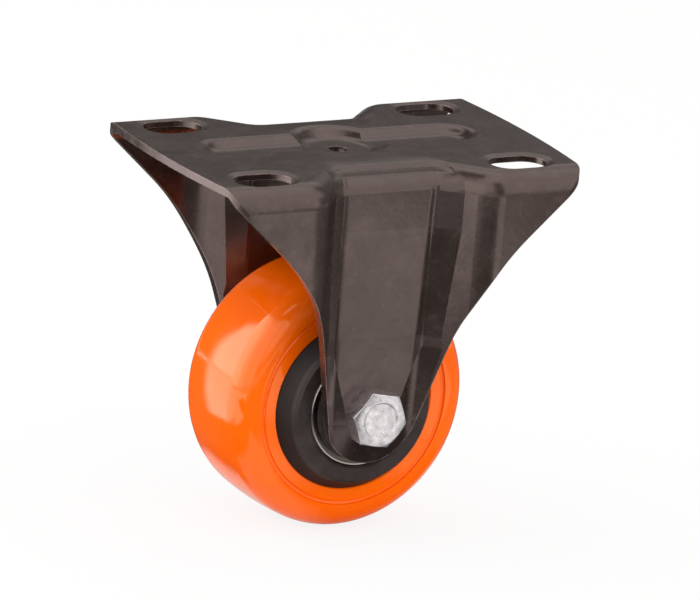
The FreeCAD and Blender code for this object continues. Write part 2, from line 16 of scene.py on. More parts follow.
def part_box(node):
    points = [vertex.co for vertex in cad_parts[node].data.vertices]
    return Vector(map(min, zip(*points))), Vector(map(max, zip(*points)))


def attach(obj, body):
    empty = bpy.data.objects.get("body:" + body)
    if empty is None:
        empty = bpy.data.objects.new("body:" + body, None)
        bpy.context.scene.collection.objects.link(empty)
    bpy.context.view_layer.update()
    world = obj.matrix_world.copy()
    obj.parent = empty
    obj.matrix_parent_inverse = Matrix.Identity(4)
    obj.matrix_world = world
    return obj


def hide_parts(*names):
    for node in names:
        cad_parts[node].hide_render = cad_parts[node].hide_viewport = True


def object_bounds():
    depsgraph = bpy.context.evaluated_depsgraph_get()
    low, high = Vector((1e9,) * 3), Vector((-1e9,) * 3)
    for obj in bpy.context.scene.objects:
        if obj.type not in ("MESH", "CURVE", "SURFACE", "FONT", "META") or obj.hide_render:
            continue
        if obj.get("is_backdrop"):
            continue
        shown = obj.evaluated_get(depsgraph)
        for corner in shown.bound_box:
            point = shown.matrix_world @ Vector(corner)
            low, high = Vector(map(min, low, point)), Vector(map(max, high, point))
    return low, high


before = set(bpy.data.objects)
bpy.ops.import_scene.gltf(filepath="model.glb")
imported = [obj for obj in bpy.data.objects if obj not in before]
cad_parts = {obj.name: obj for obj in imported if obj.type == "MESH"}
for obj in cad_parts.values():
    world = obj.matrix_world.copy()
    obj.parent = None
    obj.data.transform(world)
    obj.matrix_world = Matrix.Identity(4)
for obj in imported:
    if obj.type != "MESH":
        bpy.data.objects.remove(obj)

log = logging.getLogger("caster")

MM = 0.001
AXLE_DROP = 47.6 * MM
NEAR_FAR = ("near", "far")

Colour = tuple[float, float, float]
Socket = bpy.types.NodeSocket


class Layer(Enum):
    """How a pattern's vector is laid over a piece."""

    EVEN = "even"
    ROUND_AXLE = "round axle"


class FinishTree:
    """The node tree of one finish, with short methods for the nodes that the finishes share."""

    def __init__(self, name: str) -> None:
        """Start a material with an empty principled surface.

        Args:
            name: The material's name.
        """
        self.material = bpy.data.materials.new(name)
        self.material.use_nodes = True
        self.tree = self.material.node_tree
        self.surface = self.tree.nodes["Principled BSDF"]

    def node(self, kind: str) -> bpy.types.Node:
        """Add a node of a kind, such as ShaderNodeMath."""
        return self.tree.nodes.new(kind)

    def link(self, source: Socket, target: Socket) -> None:
        """Join an output to an input."""
        self.tree.links.new(source, target)

    def feed(self, value: Socket | float, target: Socket) -> None:
        """Link a socket to an input, or set the input where the value is a number."""
        if isinstance(value, bpy.types.NodeSocket):
            self.link(value, target)
        else:
            target.default_value = value

    def place(self, layer: Layer = Layer.EVEN, stretch: Colour = (1.0, 1.0, 1.0)) -> Socket:
        """Object coordinates, centred on the axle.

        Args:
            layer: EVEN keeps x, y and z. ROUND_AXLE gives the turn about the axle in metres at
                a 10 mm radius, the place along the axle and the distance from it.
            stretch: Factors on the three coordinates.

        Returns:
            The vector output.
        """
        coordinates = self.node("ShaderNodeTexCoord")
        centre = self.node("ShaderNodeMapping")
        centre.inputs["Location"].default_value = (0.0, 0.0, AXLE_DROP)
        self.link(coordinates.outputs["Object"], centre.inputs["Vector"])
        vector = centre.outputs["Vector"]
        if layer is Layer.ROUND_AXLE:
            parts = self.outputs_of(vector)
            turn = self.math("ARCTAN2", parts["Z"], parts["X"])
            turn = self.math("MULTIPLY", turn, 10.0 * MM)
            square_x = self.math("MULTIPLY", parts["X"], parts["X"])
            square_z = self.math("MULTIPLY", parts["Z"], parts["Z"])
            radius = self.math("SQRT", self.math("ADD", square_x, square_z), 0.0)
            joined = self.node("ShaderNodeCombineXYZ")
            self.link(turn, joined.inputs["X"])
            self.link(parts["Y"], joined.inputs["Y"])
            self.link(radius, joined.inputs["Z"])
            vector = joined.outputs[0]
        scaled = self.node("ShaderNodeMapping")
        scaled.inputs["Scale"].default_value = stretch
        self.link(vector, scaled.inputs["Vector"])
        return scaled.outputs["Vector"]

    def math(self, operation: str, first: Socket | float, second: Socket | float) -> Socket:
        """A math node on two values, each a socket or a number."""
        node = self.node("ShaderNodeMath")
        node.operation = operation
        self.feed(first, node.inputs[0])
        self.feed(second, node.inputs[1])
        return node.outputs[0]

    def outputs_of(self, vector: Socket) -> bpy.types.NodeOutputs:
        """The x, y and z outputs of a vector."""
        parts = self.node("ShaderNodeSeparateXYZ")
        self.link(vector, parts.inputs[0])
        return parts.outputs

    def noise(self, vector: Socket, feature: float, detail: float = 3.0) -> Socket:
        """Noise whose lumps are about one feature across.

        Args:
            vector: The coordinates.
            feature: The size of a lump in metres.
            detail: Octaves of finer noise.

        Returns:
            The value output, about 0.3 to 0.7.
        """
        node = self.node("ShaderNodeTexNoise")
        node.inputs["Scale"].default_value = 1.0 / feature
        node.inputs["Detail"].default_value = detail
        node.inputs["Roughness"].default_value = 0.6
        self.link(vector, node.inputs["Vector"])
        return node.outputs["Fac"]

    def specks(self, vector: Socket, spacing: float, size: float) -> Socket:
        """Small round specks, one in each cell of a Voronoi pattern.

        Args:
            vector: The coordinates.
            spacing: The distance between specks in metres.
            size: The share of a cell that a speck covers.

        Returns:
            A mask, 1 on the specks.
        """
        node = self.node("ShaderNodeTexVoronoi")
        node.inputs["Scale"].default_value = 1.0 / spacing
        self.link(vector, node.inputs["Vector"])
        return self.span(node.outputs["Distance"], size, 0.4 * size)

    def span(self, value: Socket, low: float, high: float,
             out_low: float = 0.0, out_high: float = 1.0) -> Socket:
        """A value mapped from one range to another and held within it."""
        node = self.node("ShaderNodeMapRange")
        node.inputs["From Min"].default_value = low
        node.inputs["From Max"].default_value = high
        node.inputs["To Min"].default_value = out_low
        node.inputs["To Max"].default_value = out_high
        self.link(value, node.inputs["Value"])
        return node.outputs["Result"]

    def blend(self, share: Socket, base: Socket | Colour, top: Colour) -> Socket:
        """One colour laid over another by a mask.

        Args:
            share: The mask, 0 for base and 1 for top.
            base: The colour below, or the output that gives it.
            top: The colour above.

        Returns:
            The colour output.
        """
        node = self.node("ShaderNodeMix")
        node.data_type = "RGBA"
        self.link(share, node.inputs["Factor"])
        below, above = node.inputs[6], node.inputs[7]
        if isinstance(base, bpy.types.NodeSocket):
            self.link(base, below)
        else:
            below.default_value = (*base, 1.0)
        above.default_value = (*top, 1.0)
        return node.outputs[2]

    def edges(self, radius: Socket | float) -> tuple[Socket, Socket]:
        """Softened edges.

        Args:
            radius: The radius in metres that an edge looks rounded to.

        Returns:
            The rounded normal, and a mask that is 1 on the edges.
        """
        bevel = self.node("ShaderNodeBevel")
        bevel.samples = 6
        self.feed(radius, bevel.inputs["Radius"])
        geometry = self.node("ShaderNodeNewGeometry")
        dot = self.node("ShaderNodeVectorMath")
        dot.operation = "DOT_PRODUCT"
        self.link(bevel.outputs[0], dot.inputs[0])
        self.link(geometry.outputs["Normal"], dot.inputs[1])
        return bevel.outputs[0], self.span(dot.outputs["Value"], 0.995, 0.86)

    def bump(self, height: Socket, depth: float, normal: Socket | None = None) -> Socket:
        """Relief from a height pattern.

        Args:
            height: The pattern, 0 to 1.
            depth: How far 1 stands above 0, in metres.
            normal: The normal to lay it on, or None for the surface's own.

        Returns:
            The normal output.
        """
        node = self.node("ShaderNodeBump")
        node.inputs["Strength"].default_value = 1.0
        node.inputs["Distance"].default_value = depth
        self.link(height, node.inputs["Height"])
        if normal is not None:
            self.link(normal, node.inputs["Normal"])
        return node.outputs[0]

    def finish(self, colour: Socket, roughness: Socket, normal: Socket,
               **constants: float | tuple[float, ...]) -> bpy.types.Material:
        """Join colour, roughness and normal to the surface and set its plain sockets.

        Args:
            colour: The base colour.
            roughness: The roughness.
            normal: The normal.
            constants: Values for other sockets, by name with _ for each space.

        Returns:
            The finished material.
        """
        self.link(colour, self.surface.inputs["Base Color"])
        self.link(roughness, self.surface.inputs["Roughness"])
        self.link(normal, self.surface.inputs["Normal"])
        for name, value in constants.items():
            self.surface.inputs[name.replace("_", " ")].default_value = value
        return self.material


@dataclass(frozen=True)
class ForkPaint:
    """Thin semi-gloss black paint over pressed steel, a little dusty, and lighter at its edges: partly wear, partly a
    painted highlight.
    """

    black: Colour = (0.013, 0.008, 0.0066)
    brown: Colour = (0.020, 0.0125, 0.0103)
    dust: Colour = (0.12, 0.095, 0.084)
    # Edge colour: partly bare steel where the paint has rubbed off, partly a painted highlight on the edges.
    worn_and_glint: Colour = (0.36, 0.28, 0.25)
    sheen: Colour = (1.0, 0.80, 0.77)
    edge_radius: float = 0.25 * MM
    tongue_slope: float = 0.5
    shoulder_slope: float = 0.2

    def tongue(self, tree: FinishTree) -> Socket:
        """How far the creases round each leg's middle panel fall away from it, in metres.

        The panel is a tongue that narrows downwards and ends round the axle. Its soft crease is
        wide at the top and runs out under the plate's bend. The legs' inner faces show it the
        other way up, because the sheet keeps its thickness.
        """
        parts = tree.outputs_of(tree.place())
        height = parts["Z"]
        below = tree.math("MINIMUM", height, 0.0)
        square_x = tree.math("MULTIPLY", parts["X"], parts["X"])
        square_z = tree.math("MULTIPLY", below, below)
        away = tree.math("SQRT", tree.math("ADD", square_x, square_z), 0.0)
        half = tree.span(height, -1.5 * MM, 13.0 * MM, 4.7 * MM, 9.4 * MM)
        crease = tree.math("MAXIMUM", tree.span(height, 16.0 * MM, 36.0 * MM, 2.7 * MM, 4.3 * MM),
                           tree.span(height, 15.0 * MM, -1.5 * MM, 2.7 * MM, 4.6 * MM))
        fall = tree.math("MINIMUM", tree.math("MAXIMUM", tree.math("SUBTRACT", away, half), 0.0), crease)
        rise = tree.math("MULTIPLY", tree.math("SUBTRACT", crease, fall), self.tongue_slope)
        faces = tree.outputs_of(tree.node("ShaderNodeTexCoord").outputs["Normal"])["Y"]
        side = tree.math("SIGN", tree.math("MULTIPLY", faces, parts["Y"]), 0.0)
        legs = tree.span(tree.math("ABSOLUTE", parts["Y"], 0.0), 13.0 * MM, 15.0 * MM)
        rise = tree.math("MULTIPLY", rise, tree.math("MULTIPLY", side, legs))
        return tree.math("MULTIPLY", rise, tree.span(height, 47.0 * MM, 43.2 * MM))

    def shoulder(self, tree: FinishTree) -> Socket:
        """How the plate's middle begins to fall before its two long bends, in metres."""
        parts = tree.outputs_of(tree.place())
        near_bend = tree.math("SUBTRACT", tree.math("ABSOLUTE", parts["Y"], 0.0), 9.5 * MM)
        reach = 8.5 * MM
        fall = tree.math("MINIMUM", tree.math("MAXIMUM", near_bend, 0.0), reach)
        fall = tree.math("DIVIDE", tree.math("MULTIPLY", fall, fall), 2 * reach)
        across = tree.span(tree.math("ABSOLUTE", parts["X"], 0.0), 13.0 * MM, 10.0 * MM)
        top = tree.span(parts["Z"], 46.4 * MM, 47.3 * MM)
        drop = tree.math("MULTIPLY", fall, -self.shoulder_slope)
        return tree.math("MULTIPLY", drop, tree.math("MULTIPLY", across, top))

    def material(self) -> bpy.types.Material:
        """Build the finish."""
        tree = FinishTree("fork paint")
        even = tree.place()
        cloud = tree.noise(even, 9 * MM, 4.0)
        colour = tree.blend(tree.span(cloud, 0.38, 0.68), self.black, self.brown)
        film = tree.span(tree.noise(even, 2.4 * MM, 6.0), 0.56, 0.8, 0.0, 0.28)
        colour = tree.blend(film, colour, self.dust)
        dots = tree.math("MULTIPLY", tree.specks(even, 2.6 * MM, 0.1),
                         tree.span(tree.noise(even, 7 * MM), 0.5, 0.62, 0.0, 0.5))
        colour = tree.blend(dots, colour, self.dust)
        # Lighter edges: partly wear of the paint, partly a painted highlight that stands in for the edges' reflection.
        rounded, edge = tree.edges(self.edge_radius)
        scuffs_and_glint = tree.math("MULTIPLY", edge, tree.span(tree.noise(even, 1.5 * MM), 0.38, 0.62, 0.25, 0.8))
        colour = tree.blend(scuffs_and_glint, colour, self.worn_and_glint)
        roughness = tree.span(tree.noise(even, 5 * MM, 5.0), 0.3, 0.7, 0.2, 0.32)
        skin = tree.bump(tree.noise(even, 1.1 * MM, 2.0), 0.02 * MM, rounded)
        relief = tree.math("ADD", self.tongue(tree), self.shoulder(tree))
        pressed = tree.bump(relief, 1.0, skin)
        waves = tree.bump(tree.noise(even, 12 * MM, 1.0), 0.12 * MM, pressed)
        return tree.finish(colour, roughness, waves, IOR=1.6, Specular_IOR_Level=1.0,
                           Specular_Tint=(*self.sheen, 1.0))


@dataclass(frozen=True)
class TreadOrange:
    """Glossy orange moulded tread with faint flow marks and handling scuffs."""

    orange: Colour = (1.0, 0.138, 0.0)
    deep: Colour = (0.97, 0.122, 0.0)
    scuff: Colour = (1.0, 0.2, 0.03)

    def material(self) -> bpy.types.Material:
        """Build the finish."""
        tree = FinishTree("tread orange")
        even = tree.place()
        colour = tree.blend(tree.span(tree.noise(even, 14 * MM), 0.35, 0.7), self.orange, self.deep)
        along = tree.place(Layer.ROUND_AXLE, (0.25, 1.0, 1.0))
        rubbed = tree.span(tree.noise(along, 1.6 * MM, 5.0), 0.62, 0.8, 0.0, 0.3)
        colour = tree.blend(rubbed, colour, self.scuff)
        roughness = tree.span(tree.noise(along, 2.2 * MM, 5.0), 0.35, 0.75, 0.07, 0.15)
        flow = tree.bump(tree.noise(even, 9 * MM, 1.0), 0.05 * MM)
        fine = tree.bump(tree.noise(even, 0.7 * MM, 2.0), 0.002 * MM, flow)
        return tree.finish(colour, roughness, fine, Specular_IOR_Level=0.8, Specular_Tint=(1.0, 0.9, 0.62, 1.0))


@dataclass(frozen=True)
class HubNylon:
    """Satin black moulded plastic, duller and darker on its cone, with its mould's turning marks."""

    black: Colour = (0.024, 0.0165, 0.016)
    grey: Colour = (0.042, 0.030, 0.029)
    deep: Colour = (0.007, 0.005, 0.0045)
    face_radius: float = 14.4 * MM
    edge_radius: float = 0.2 * MM

    def material(self) -> bpy.types.Material:
        """Build the finish."""
        tree = FinishTree("hub nylon")
        even = tree.place()
        rings = tree.place(Layer.ROUND_AXLE, (0.04, 1.0, 1.0))
        colour = tree.blend(tree.span(tree.noise(even, 3 * MM, 5.0), 0.4, 0.72), self.black, self.grey)
        cone = tree.span(tree.outputs_of(rings)["Z"], self.face_radius, self.face_radius + 0.4 * MM)
        colour = tree.blend(tree.math("MULTIPLY", cone, 0.9), colour, self.deep)
        rounded, edge = tree.edges(self.edge_radius)
        colour = tree.blend(tree.math("MULTIPLY", edge, 0.35), colour, self.grey)
        roughness = tree.span(tree.noise(rings, 0.5 * MM, 4.0), 0.3, 0.7, 0.36, 0.5)
        roughness = tree.math("ADD", roughness, tree.math("MULTIPLY", cone, 0.15))
        turned = tree.bump(tree.noise(rings, 0.35 * MM, 2.0), 0.006 * MM, rounded)
        grain = tree.bump(tree.noise(even, 0.25 * MM, 2.0), 0.006 * MM, turned)
        return tree.finish(colour, roughness, grain, Specular_IOR_Level=0.32)


@dataclass(frozen=True)
class ZincPlate:
    """Bright zinc plate over forged steel."""

    bright: Colour = (0.97, 0.965, 1.0)
    dull: Colour = (0.58, 0.58, 0.61)
    edge_radius: float = 0.18 * MM

    def material(self) -> bpy.types.Material:
        """Build the finish."""
        tree = FinishTree("zinc plate")
        even = tree.place()
        colour = tree.blend(tree.span(tree.noise(even, 1.3 * MM, 6.0), 0.42, 0.75), self.bright, self.dull)
        roughness = tree.span(tree.noise(even, 0.9 * MM, 5.0), 0.3, 0.7, 0.22, 0.42)
        rounded, edge = tree.edges(self.edge_radius)
        colour = tree.blend(tree.math("MULTIPLY", edge, 0.7), colour, self.bright)
        forged = tree.bump(tree.noise(even, 1.2 * MM, 3.0), 0.035 * MM, rounded)
        grain = tree.bump(tree.noise(even, 0.18 * MM, 2.0), 0.004 * MM, forged)
        return tree.finish(colour, roughness, grain, Metallic=1.0)


@dataclass(frozen=True)
class BearingSteel:
    """Ground bearing steel, bright at the outer rings' rims and darker inside them as painted shade."""

    steel: Colour = (0.62, 0.57, 0.53)
    shade: Colour = (0.46, 0.42, 0.39)
    # Painted shade for all that lies inside the outer rings' rims.
    painted_shade: Colour = (0.06, 0.045, 0.04)
    rim_radius: float = 10.5 * MM
    edge_radius: float = 0.1 * MM

    def material(self) -> bpy.types.Material:
        """Build the finish."""
        tree = FinishTree("bearing steel")
        rings = tree.place(Layer.ROUND_AXLE, (0.03, 1.0, 1.0))
        colour = tree.blend(tree.span(tree.noise(rings, 0.4 * MM, 5.0), 0.4, 0.7), self.steel, self.shade)
        roughness = tree.span(tree.noise(rings, 0.25 * MM, 4.0), 0.3, 0.7, 0.18, 0.34)
        rounded, edge = tree.edges(self.edge_radius)
        colour = tree.blend(edge, colour, self.steel)
        # Painted shade: inside the outer rings' rims the steel is darkened, where the recess lies in shade.
        inner = tree.span(tree.outputs_of(rings)["Z"], self.rim_radius, self.rim_radius - 0.15 * MM, 0.0, 0.85)
        colour = tree.blend(inner, colour, self.painted_shade)
        ground = tree.bump(tree.noise(rings, 0.15 * MM, 2.0), 0.003 * MM, rounded)
        return tree.finish(colour, roughness, ground, Metallic=1.0)


@dataclass(frozen=True)
class SealRubber:
    """Black moulded rubber of the bearing seals."""

    black: Colour = (0.050, 0.036, 0.033)
    grey: Colour = (0.078, 0.058, 0.052)

    def material(self) -> bpy.types.Material:
        """Build the finish."""
        tree = FinishTree("seal rubber")
        even = tree.place()
        colour = tree.blend(tree.span(tree.noise(even, 1.8 * MM, 5.0), 0.45, 0.75), self.black, self.grey)
        roughness = tree.span(tree.noise(even, 0.8 * MM, 4.0), 0.3, 0.7, 0.48, 0.66)
        grain = tree.bump(tree.noise(even, 0.2 * MM, 2.0), 0.008 * MM)
        return tree.finish(colour, roughness, grain)


@dataclass(frozen=True)
class Nylon:
    """Natural nylon of the cages and of the nut's ring."""

    pale: Colour = (0.72, 0.68, 0.58)
    warm: Colour = (0.58, 0.53, 0.42)

    def material(self) -> bpy.types.Material:
        """Build the finish."""
        tree = FinishTree("natural nylon")
        even = tree.place()
        colour = tree.blend(tree.span(tree.noise(even, 2 * MM, 4.0), 0.4, 0.7), self.pale, self.warm)
        roughness = tree.span(tree.noise(even, 0.7 * MM, 3.0), 0.3, 0.7, 0.4, 0.55)
        grain = tree.bump(tree.noise(even, 0.3 * MM, 2.0), 0.006 * MM)
        return tree.finish(colour, roughness, grain)


@dataclass(frozen=True)
class Finishes:
    """Every finish of the caster, by the piece that it is for."""

    paint: bpy.types.Material
    orange: bpy.types.Material
    hub: bpy.types.Material
    zinc: bpy.types.Material
    steel: bpy.types.Material
    rubber: bpy.types.Material
    nylon: bpy.types.Material

    @classmethod
    def mixed(cls) -> "Finishes":
        """Build all of them."""
        return cls(
            paint=ForkPaint().material(),
            orange=TreadOrange().material(),
            hub=HubNylon().material(),
            zinc=ZincPlate().material(),
            steel=BearingSteel().material(),
            rubber=SealRubber().material(),
            nylon=Nylon().material(),
        )


def dress_node(name: str, finish: bpy.types.Material) -> None:
    """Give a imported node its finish.

    Args:
        name: The node's name.
        finish: The material for all of its slots.
    """
    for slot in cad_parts[name].material_slots:
        slot.material = finish
    log.info("%s wears %s", name, finish.name)


class Cut(Enum):
    """What a Boolean modifier makes of two pieces."""

    BOTH = "INTERSECT"
    WITHOUT = "DIFFERENCE"
    EITHER = "UNION"


def apply_modifier(piece: bpy.types.Object, kind: str, **settings: object) -> None:
    """Add a modifier to a piece, set it and apply it.

    Args:
        piece: The piece.
        kind: The modifier's type, such as BEVEL.
        settings: Its settings by name.
    """
    bpy.ops.object.select_all(action="DESELECT")
    bpy.context.view_layer.objects.active = piece
    piece.select_set(True)
    modifier = piece.modifiers.new(kind.lower(), kind)
    for name, value in settings.items():
        setattr(modifier, name, value)
    bpy.ops.object.modifier_apply(modifier=modifier.name)


def carve(piece: bpy.types.Object, tool: bpy.types.Object, cut: Cut) -> None:
    """Change a piece by another one, which is used up."""
    apply_modifier(piece, "BOOLEAN", object=tool, operation=cut.value, solver="EXACT")
    bpy.data.objects.remove(tool, do_unlink=True)


def turned_piece(name: str, radii: tuple[float, float], ends: tuple[float, float],
                 vertices: int = 96, turn: float = 0.0) -> bpy.types.Object:
    """A cylinder, cone or prism about the bolt's axis.

    Args:
        name: The piece's name.
        radii: Its radius at the low and the high end.
        ends: Where these ends are along the axle.
        vertices: Its corners round the axle.
        turn: The first corner's turn, for a prism.

    Returns:
        The piece, with its place in its mesh.
    """
    bpy.ops.object.select_all(action="DESELECT")
    middle = Vector((0.0, sum(ends) / 2, -AXLE_DROP))
    bpy.ops.mesh.primitive_cone_add(vertices=vertices, radius1=radii[0], radius2=radii[1], depth=ends[1] - ends[0],
                                    location=middle, rotation=(-math.pi / 2, turn, 0.0))
    bpy.ops.object.transform_apply()
    bpy.context.object.name = name
    return bpy.context.object


def pick_faces(piece: bpy.types.Object, wanted: Callable[[Vector, Vector], bool]) -> None:
    """Go into edit mode with the faces selected whose centre and normal are wanted."""
    bpy.ops.object.select_all(action="DESELECT")
    bpy.context.view_layer.objects.active = piece
    piece.select_set(True)
    bpy.ops.object.mode_set(mode="EDIT")
    bpy.ops.mesh.select_mode(type="FACE")
    bpy.ops.mesh.select_all(action="DESELECT")
    bpy.ops.object.mode_set(mode="OBJECT")
    for face in piece.data.polygons:
        face.select = wanted(face.center, face.normal)
    bpy.ops.object.mode_set(mode="EDIT")


def turn_outwards(piece: bpy.types.Object) -> None:
    """Turn a piece's normals outwards."""
    pick_faces(piece, lambda centre, normal: True)
    bpy.ops.mesh.normals_make_consistent(inside=False)
    bpy.ops.object.mode_set(mode="OBJECT")


def join(pieces: list[bpy.types.Object]) -> bpy.types.Object:
    """Join pieces into the first of them, each with its normals outwards."""
    for piece in pieces:
        turn_outwards(piece)
    bpy.ops.object.select_all(action="DESELECT")
    for piece in pieces:
        piece.select_set(True)
    bpy.context.view_layer.objects.active = pieces[0]
    bpy.ops.object.join()
    return pieces[0]


@dataclass(frozen=True)
class Hexagon:
    """The hexagon of a bolt head or nut, with the shallow chamfer of its corners."""

    low: float
    high: float
    turn: float
    corner_radius: float = 5.77 * MM
    face_radius: float = 4.95 * MM
    chamfer_reach: float = 5.0 * MM
    chamfer_tilt: float = math.radians(22.0)

    @property
    def wide(self) -> float:
        """The chamfer cone's radius at its far end."""
        return self.face_radius + self.chamfer_reach / math.tan(self.chamfer_tilt)

    def build(self, name: str, chamfer_low: bool, chamfer_high: bool) -> bpy.types.Object:
        """Model the prism and chamfer the ends that are asked for.

        Args:
            name: The piece's name.
            chamfer_low: Whether the low end is chamfered.
            chamfer_high: Whether the high end is chamfered.

        Returns:
            The chamfered prism.
        """
        prism = turned_piece(name, (self.corner_radius,) * 2, (self.low, self.high), 6, self.turn)
        if chamfer_low:
            cone = turned_piece("chamfer", (self.face_radius, self.wide), (self.low, self.low + self.chamfer_reach))
            carve(prism, cone, Cut.BOTH)
        if chamfer_high:
            cone = turned_piece("chamfer", (self.wide, self.face_radius), (self.high - self.chamfer_reach, self.high))
            carve(prism, cone, Cut.BOTH)
        return prism


class Fastener:
    """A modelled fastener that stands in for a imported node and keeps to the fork."""

    node = ""

    def shape(self) -> bpy.types.Object:
        """Model the piece."""
        raise NotImplementedError

    def dress(self, piece: bpy.types.Object, finish: bpy.types.Material) -> None:
        """Smooth the piece, give it its finish and put it in its node's place."""
        bpy.ops.object.select_all(action="DESELECT")
        bpy.context.view_layer.objects.active = piece
        piece.select_set(True)
        bpy.ops.object.shade_smooth_by_angle(angle=math.radians(32.0))
        piece.data.materials.clear()
        piece.data.materials.append(finish)
        piece.name = self.node + "_shown"
        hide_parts(self.node)
        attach(piece, "fork")
        low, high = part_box(self.node)
        log.info("%s: %d faces within %s to %s", piece.name, len(piece.data.polygons), tuple(low), tuple(high))

    def build(self, finish: bpy.types.Material) -> bpy.types.Object:
        """Model and dress the piece."""
        piece = self.shape()
        self.dress(piece, finish)
        return piece


@dataclass(frozen=True)
class AxleBolt(Fastener):
    """Hexagon head bolt with a pressed dimple in its head and a rolled thread at its end."""

    node = "axle_bolt"
    face: float = -22.0 * MM
    seat: float = -18.0 * MM
    turn: float = math.radians(40.0)
    dimple_radius: float = 3.5 * MM
    dimple_depth: float = 0.18 * MM
    shank_radius: float = 2.99 * MM
    thread_start: float = 21.5 * MM
    tip: float = 26.99 * MM
    core_radius: float = 2.42 * MM
    crest_radius: float = 2.96 * MM
    pitch: float = 1.0 * MM
    turns: int = 5

    def shape(self) -> bpy.types.Object:
        """Model head, shank and threaded end."""
        shank = turned_piece("shank", (self.shank_radius,) * 2, (self.seat - 0.5 * MM, self.thread_start))
        return join([self.head(), shank, self.core(), self.ridge()])

    def head(self) -> bpy.types.Object:
        """The chamfered head with its round dimple."""
        head = Hexagon(self.face, self.seat, self.turn).build("bolt_head", True, False)
        dimple = turned_piece("dimple", (self.dimple_radius + self.dimple_depth, self.dimple_radius - self.dimple_depth),
                              (self.face - self.dimple_depth, self.face + self.dimple_depth))
        carve(head, dimple, Cut.WITHOUT)
        apply_modifier(head, "BEVEL", width=0.1 * MM, segments=3, limit_method="ANGLE", angle_limit=math.radians(25.0))
        return head

    def point(self) -> bpy.types.Object:
        """The cone that the bolt's end is pointed to."""
        reach = 7.0 * MM
        narrow = 2.2 * MM
        return turned_piece("point", (narrow + reach, narrow), (self.tip - reach, self.tip))

    def core(self) -> bpy.types.Object:
        """The thread's core."""
        core = turned_piece("core", (self.core_radius,) * 2, (self.thread_start - 0.5 * MM, self.tip))
        carve(core, self.point(), Cut.BOTH)
        return core

    def ridge(self) -> bpy.types.Object:
        """The thread's ridge: a flat-topped wedge swept round the core."""
        bpy.ops.object.select_all(action="DESELECT")
        axis = Vector((0.0, 0.0, -AXLE_DROP))
        bpy.ops.mesh.primitive_plane_add(size=1.0, location=axis)
        ridge = bpy.context.object
        root = self.core_radius - 0.05 * MM
        deep = self.crest_radius - root
        middle = Vector(((root + self.crest_radius) / 2, self.thread_start, 0.0))
        bpy.ops.object.mode_set(mode="EDIT")
        bpy.ops.mesh.select_all(action="SELECT")
        bpy.ops.transform.resize(value=(deep, 0.88 * self.pitch, 1.0), center_override=axis)
        bpy.ops.transform.translate(value=middle)
        bpy.ops.mesh.select_mode(type="EDGE")
        bpy.ops.mesh.select_all(action="DESELECT")
        bpy.ops.object.mode_set(mode="OBJECT")
        for vertex in ridge.data.vertices:
            vertex.select = vertex.co.x > middle.x
        for edge in ridge.data.edges:
            edge.select = all(ridge.data.vertices[end].co.x > middle.x for end in edge.vertices)
        bpy.ops.object.mode_set(mode="EDIT")
        bpy.ops.transform.resize(value=(1.0, 0.16, 1.0), center_override=axis + middle)
        bpy.ops.object.mode_set(mode="OBJECT")
        apply_modifier(ridge, "SCREW", axis="Y", angle=2 * math.pi, screw_offset=self.pitch, iterations=self.turns,
                       steps=48, render_steps=48)
        bpy.ops.object.mode_set(mode="EDIT")
        bpy.ops.mesh.select_all(action="SELECT")
        bpy.ops.mesh.remove_doubles(threshold=0.001 * MM)
        bpy.ops.mesh.fill_holes(sides=4)
        bpy.ops.mesh.normals_make_consistent(inside=False)
        bpy.ops.object.mode_set(mode="OBJECT")
        bpy.ops.object.transform_apply()
        carve(ridge, self.point(), Cut.BOTH)
        return ridge


@dataclass(frozen=True)
class LockNut(Fastener):
    """Lock nut: a hexagon with a rolled collar that holds the nylon ring."""

    node = "lock_nut"
    seat: float = 19.6 * MM
    shoulder: float = 24.2 * MM
    top: float = 25.8 * MM
    turn: float = math.radians(18.0)
    collar_radius: float = 4.3 * MM
    bore_radius: float = 3.02 * MM
    nest_radius: float = 3.9 * MM
    nest_top: float = 25.45 * MM
    mouth_radius: float = 3.55 * MM
    roll: float = 0.35 * MM

    def shape(self) -> bpy.types.Object:
        """Model hexagon and collar, and bore them."""
        nut = Hexagon(self.seat, self.shoulder, self.turn).build("nut", True, True)
        carve(nut, self.collar(), Cut.EITHER)
        beyond = 1.0 * MM
        for radius, low, high in ((self.bore_radius, self.seat - beyond, self.top + beyond),
                                  (self.nest_radius, self.shoulder, self.nest_top),
                                  (self.mouth_radius, self.shoulder, self.top + beyond)):
            carve(nut, turned_piece("bore", (radius,) * 2, (low, high)), Cut.WITHOUT)
        apply_modifier(nut, "BEVEL", width=0.08 * MM, segments=3, limit_method="ANGLE",
                       angle_limit=math.radians(28.0))
        turn_outwards(nut)
        return nut

    def collar(self) -> bpy.types.Object:
        """The collar, its outer rim rolled over the nylon ring."""
        collar = turned_piece("collar", (self.collar_radius,) * 2, (self.shoulder - 1.0 * MM, self.top))
        pick_faces(collar, lambda centre, normal: normal.y > 0.99)
        bpy.ops.mesh.bevel(offset=self.roll, segments=5, affect="EDGES")
        bpy.ops.object.mode_set(mode="OBJECT")
        return collar


class Seen(Enum):
    """The kinds of rays that meet the set's own white, as the light path names them."""

    CAMERA = "Is Camera Ray"
    GLOSSY = "Is Glossy Ray"
    TRANSMISSION = "Is Transmission Ray"


@dataclass(frozen=True)
class Panel:
    """A soft-edged panel that gloss mirrors, glowing as a painted reflection or dark as painted shade, on the dome in
    degrees or on the floor in millimetres.

    Attributes:
        across: Its middle, as azimuth or x.
        up: Its middle, as elevation or y.
        width: Half its width.
        height: Half its height.
        glow: Its brightness where white in full light is 1.
        soft: Half the width of its fading edge.
        turn: Its turn about its own middle, on the floor alone.
    """

    across: float
    up: float
    width: float
    height: float
    glow: float
    soft: float
    turn: float = 0.0


